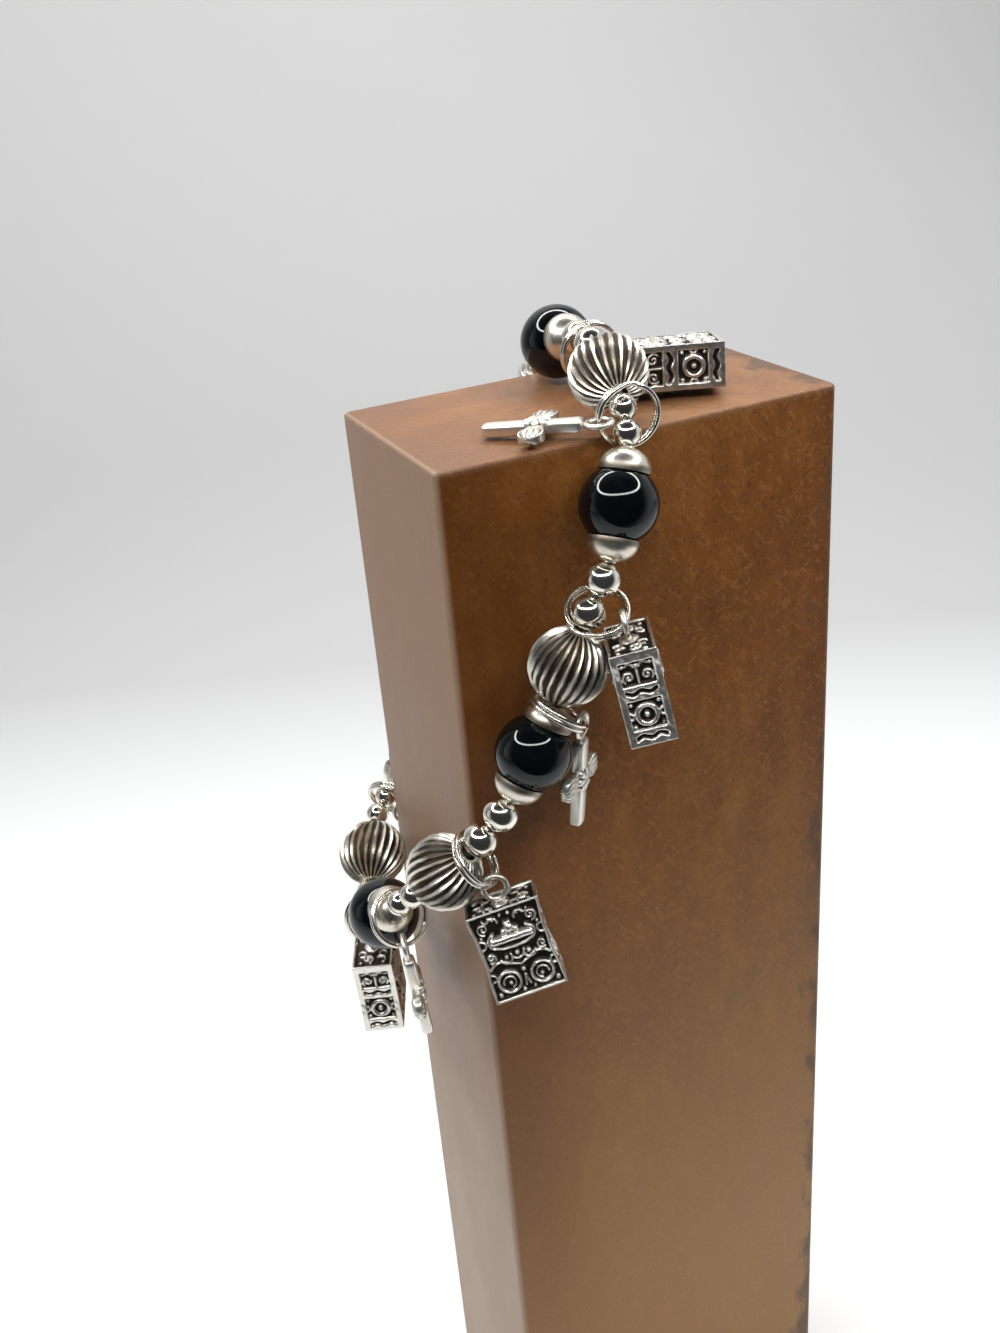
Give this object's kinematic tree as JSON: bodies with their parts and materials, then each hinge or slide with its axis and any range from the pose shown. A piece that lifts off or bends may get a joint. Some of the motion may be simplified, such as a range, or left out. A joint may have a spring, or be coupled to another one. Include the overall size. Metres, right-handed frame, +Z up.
{
  "type": "charm bracelet on display post",
  "caption": "Stretch bracelet of round black and fluted metal beads with small box and cross charms on split rings, hooked over the top corner of a plain upright wooden display block.",
  "frame": {"origin": "middle of the display post's foot, on the surface it stands on", "axes": "+Z up along the post, +X along its width, -Y out of the broad face that the bracelet crosses"},
  "size_m": [0.0582, 0.054, 0.1689],
  "materials": {
    "stained_wood": "stained reddish brown, oiled, satin",
    "black_glass": "opaque, polished",
    "oxidised_silver": "silver plate, dark in the grooves",
    "polished_silver": "bright silver plate",
    "ring_wire": "bright drawn wire",
    "charm_silver": "cast silver plate, blackened in the recesses"
  },
  "bodies": {
    "root": {"display_post": "stained_wood", "string_of_spacers": "polished_silver", "black_bead_1": "black_glass", "black_bead_2": "black_glass", "black_bead_3": "black_glass", "black_bead_4": "black_glass", "black_bead_5": "black_glass", "black_bead_6": "black_glass", "fluted_bead_1": "oxidised_silver", "fluted_bead_2": "oxidised_silver", "fluted_bead_3": "oxidised_silver", "fluted_bead_4": "oxidised_silver", "fluted_bead_5": "oxidised_silver", "fluted_bead_6": "oxidised_silver", "split_ring_1": "ring_wire", "split_ring_2": "ring_wire", "split_ring_3": "ring_wire", "split_ring_4": "ring_wire", "split_ring_5": "ring_wire", "split_ring_6": "ring_wire", "split_ring_7": "ring_wire", "split_ring_8": "ring_wire", "split_ring_9": "ring_wire", "split_ring_10": "ring_wire", "split_ring_11": "ring_wire", "split_ring_12": "ring_wire", "prayer_box_1": "charm_silver", "prayer_box_2": "charm_silver", "prayer_box_3": "charm_silver", "prayer_box_4": "charm_silver", "prayer_box_5": "charm_silver", "prayer_box_6": "charm_silver", "cross_1": "charm_silver", "cross_2": "charm_silver", "cross_3": "charm_silver", "cross_4": "charm_silver", "cross_5": "charm_silver", "cross_6": "charm_silver"}
  },
  "joints": []
}
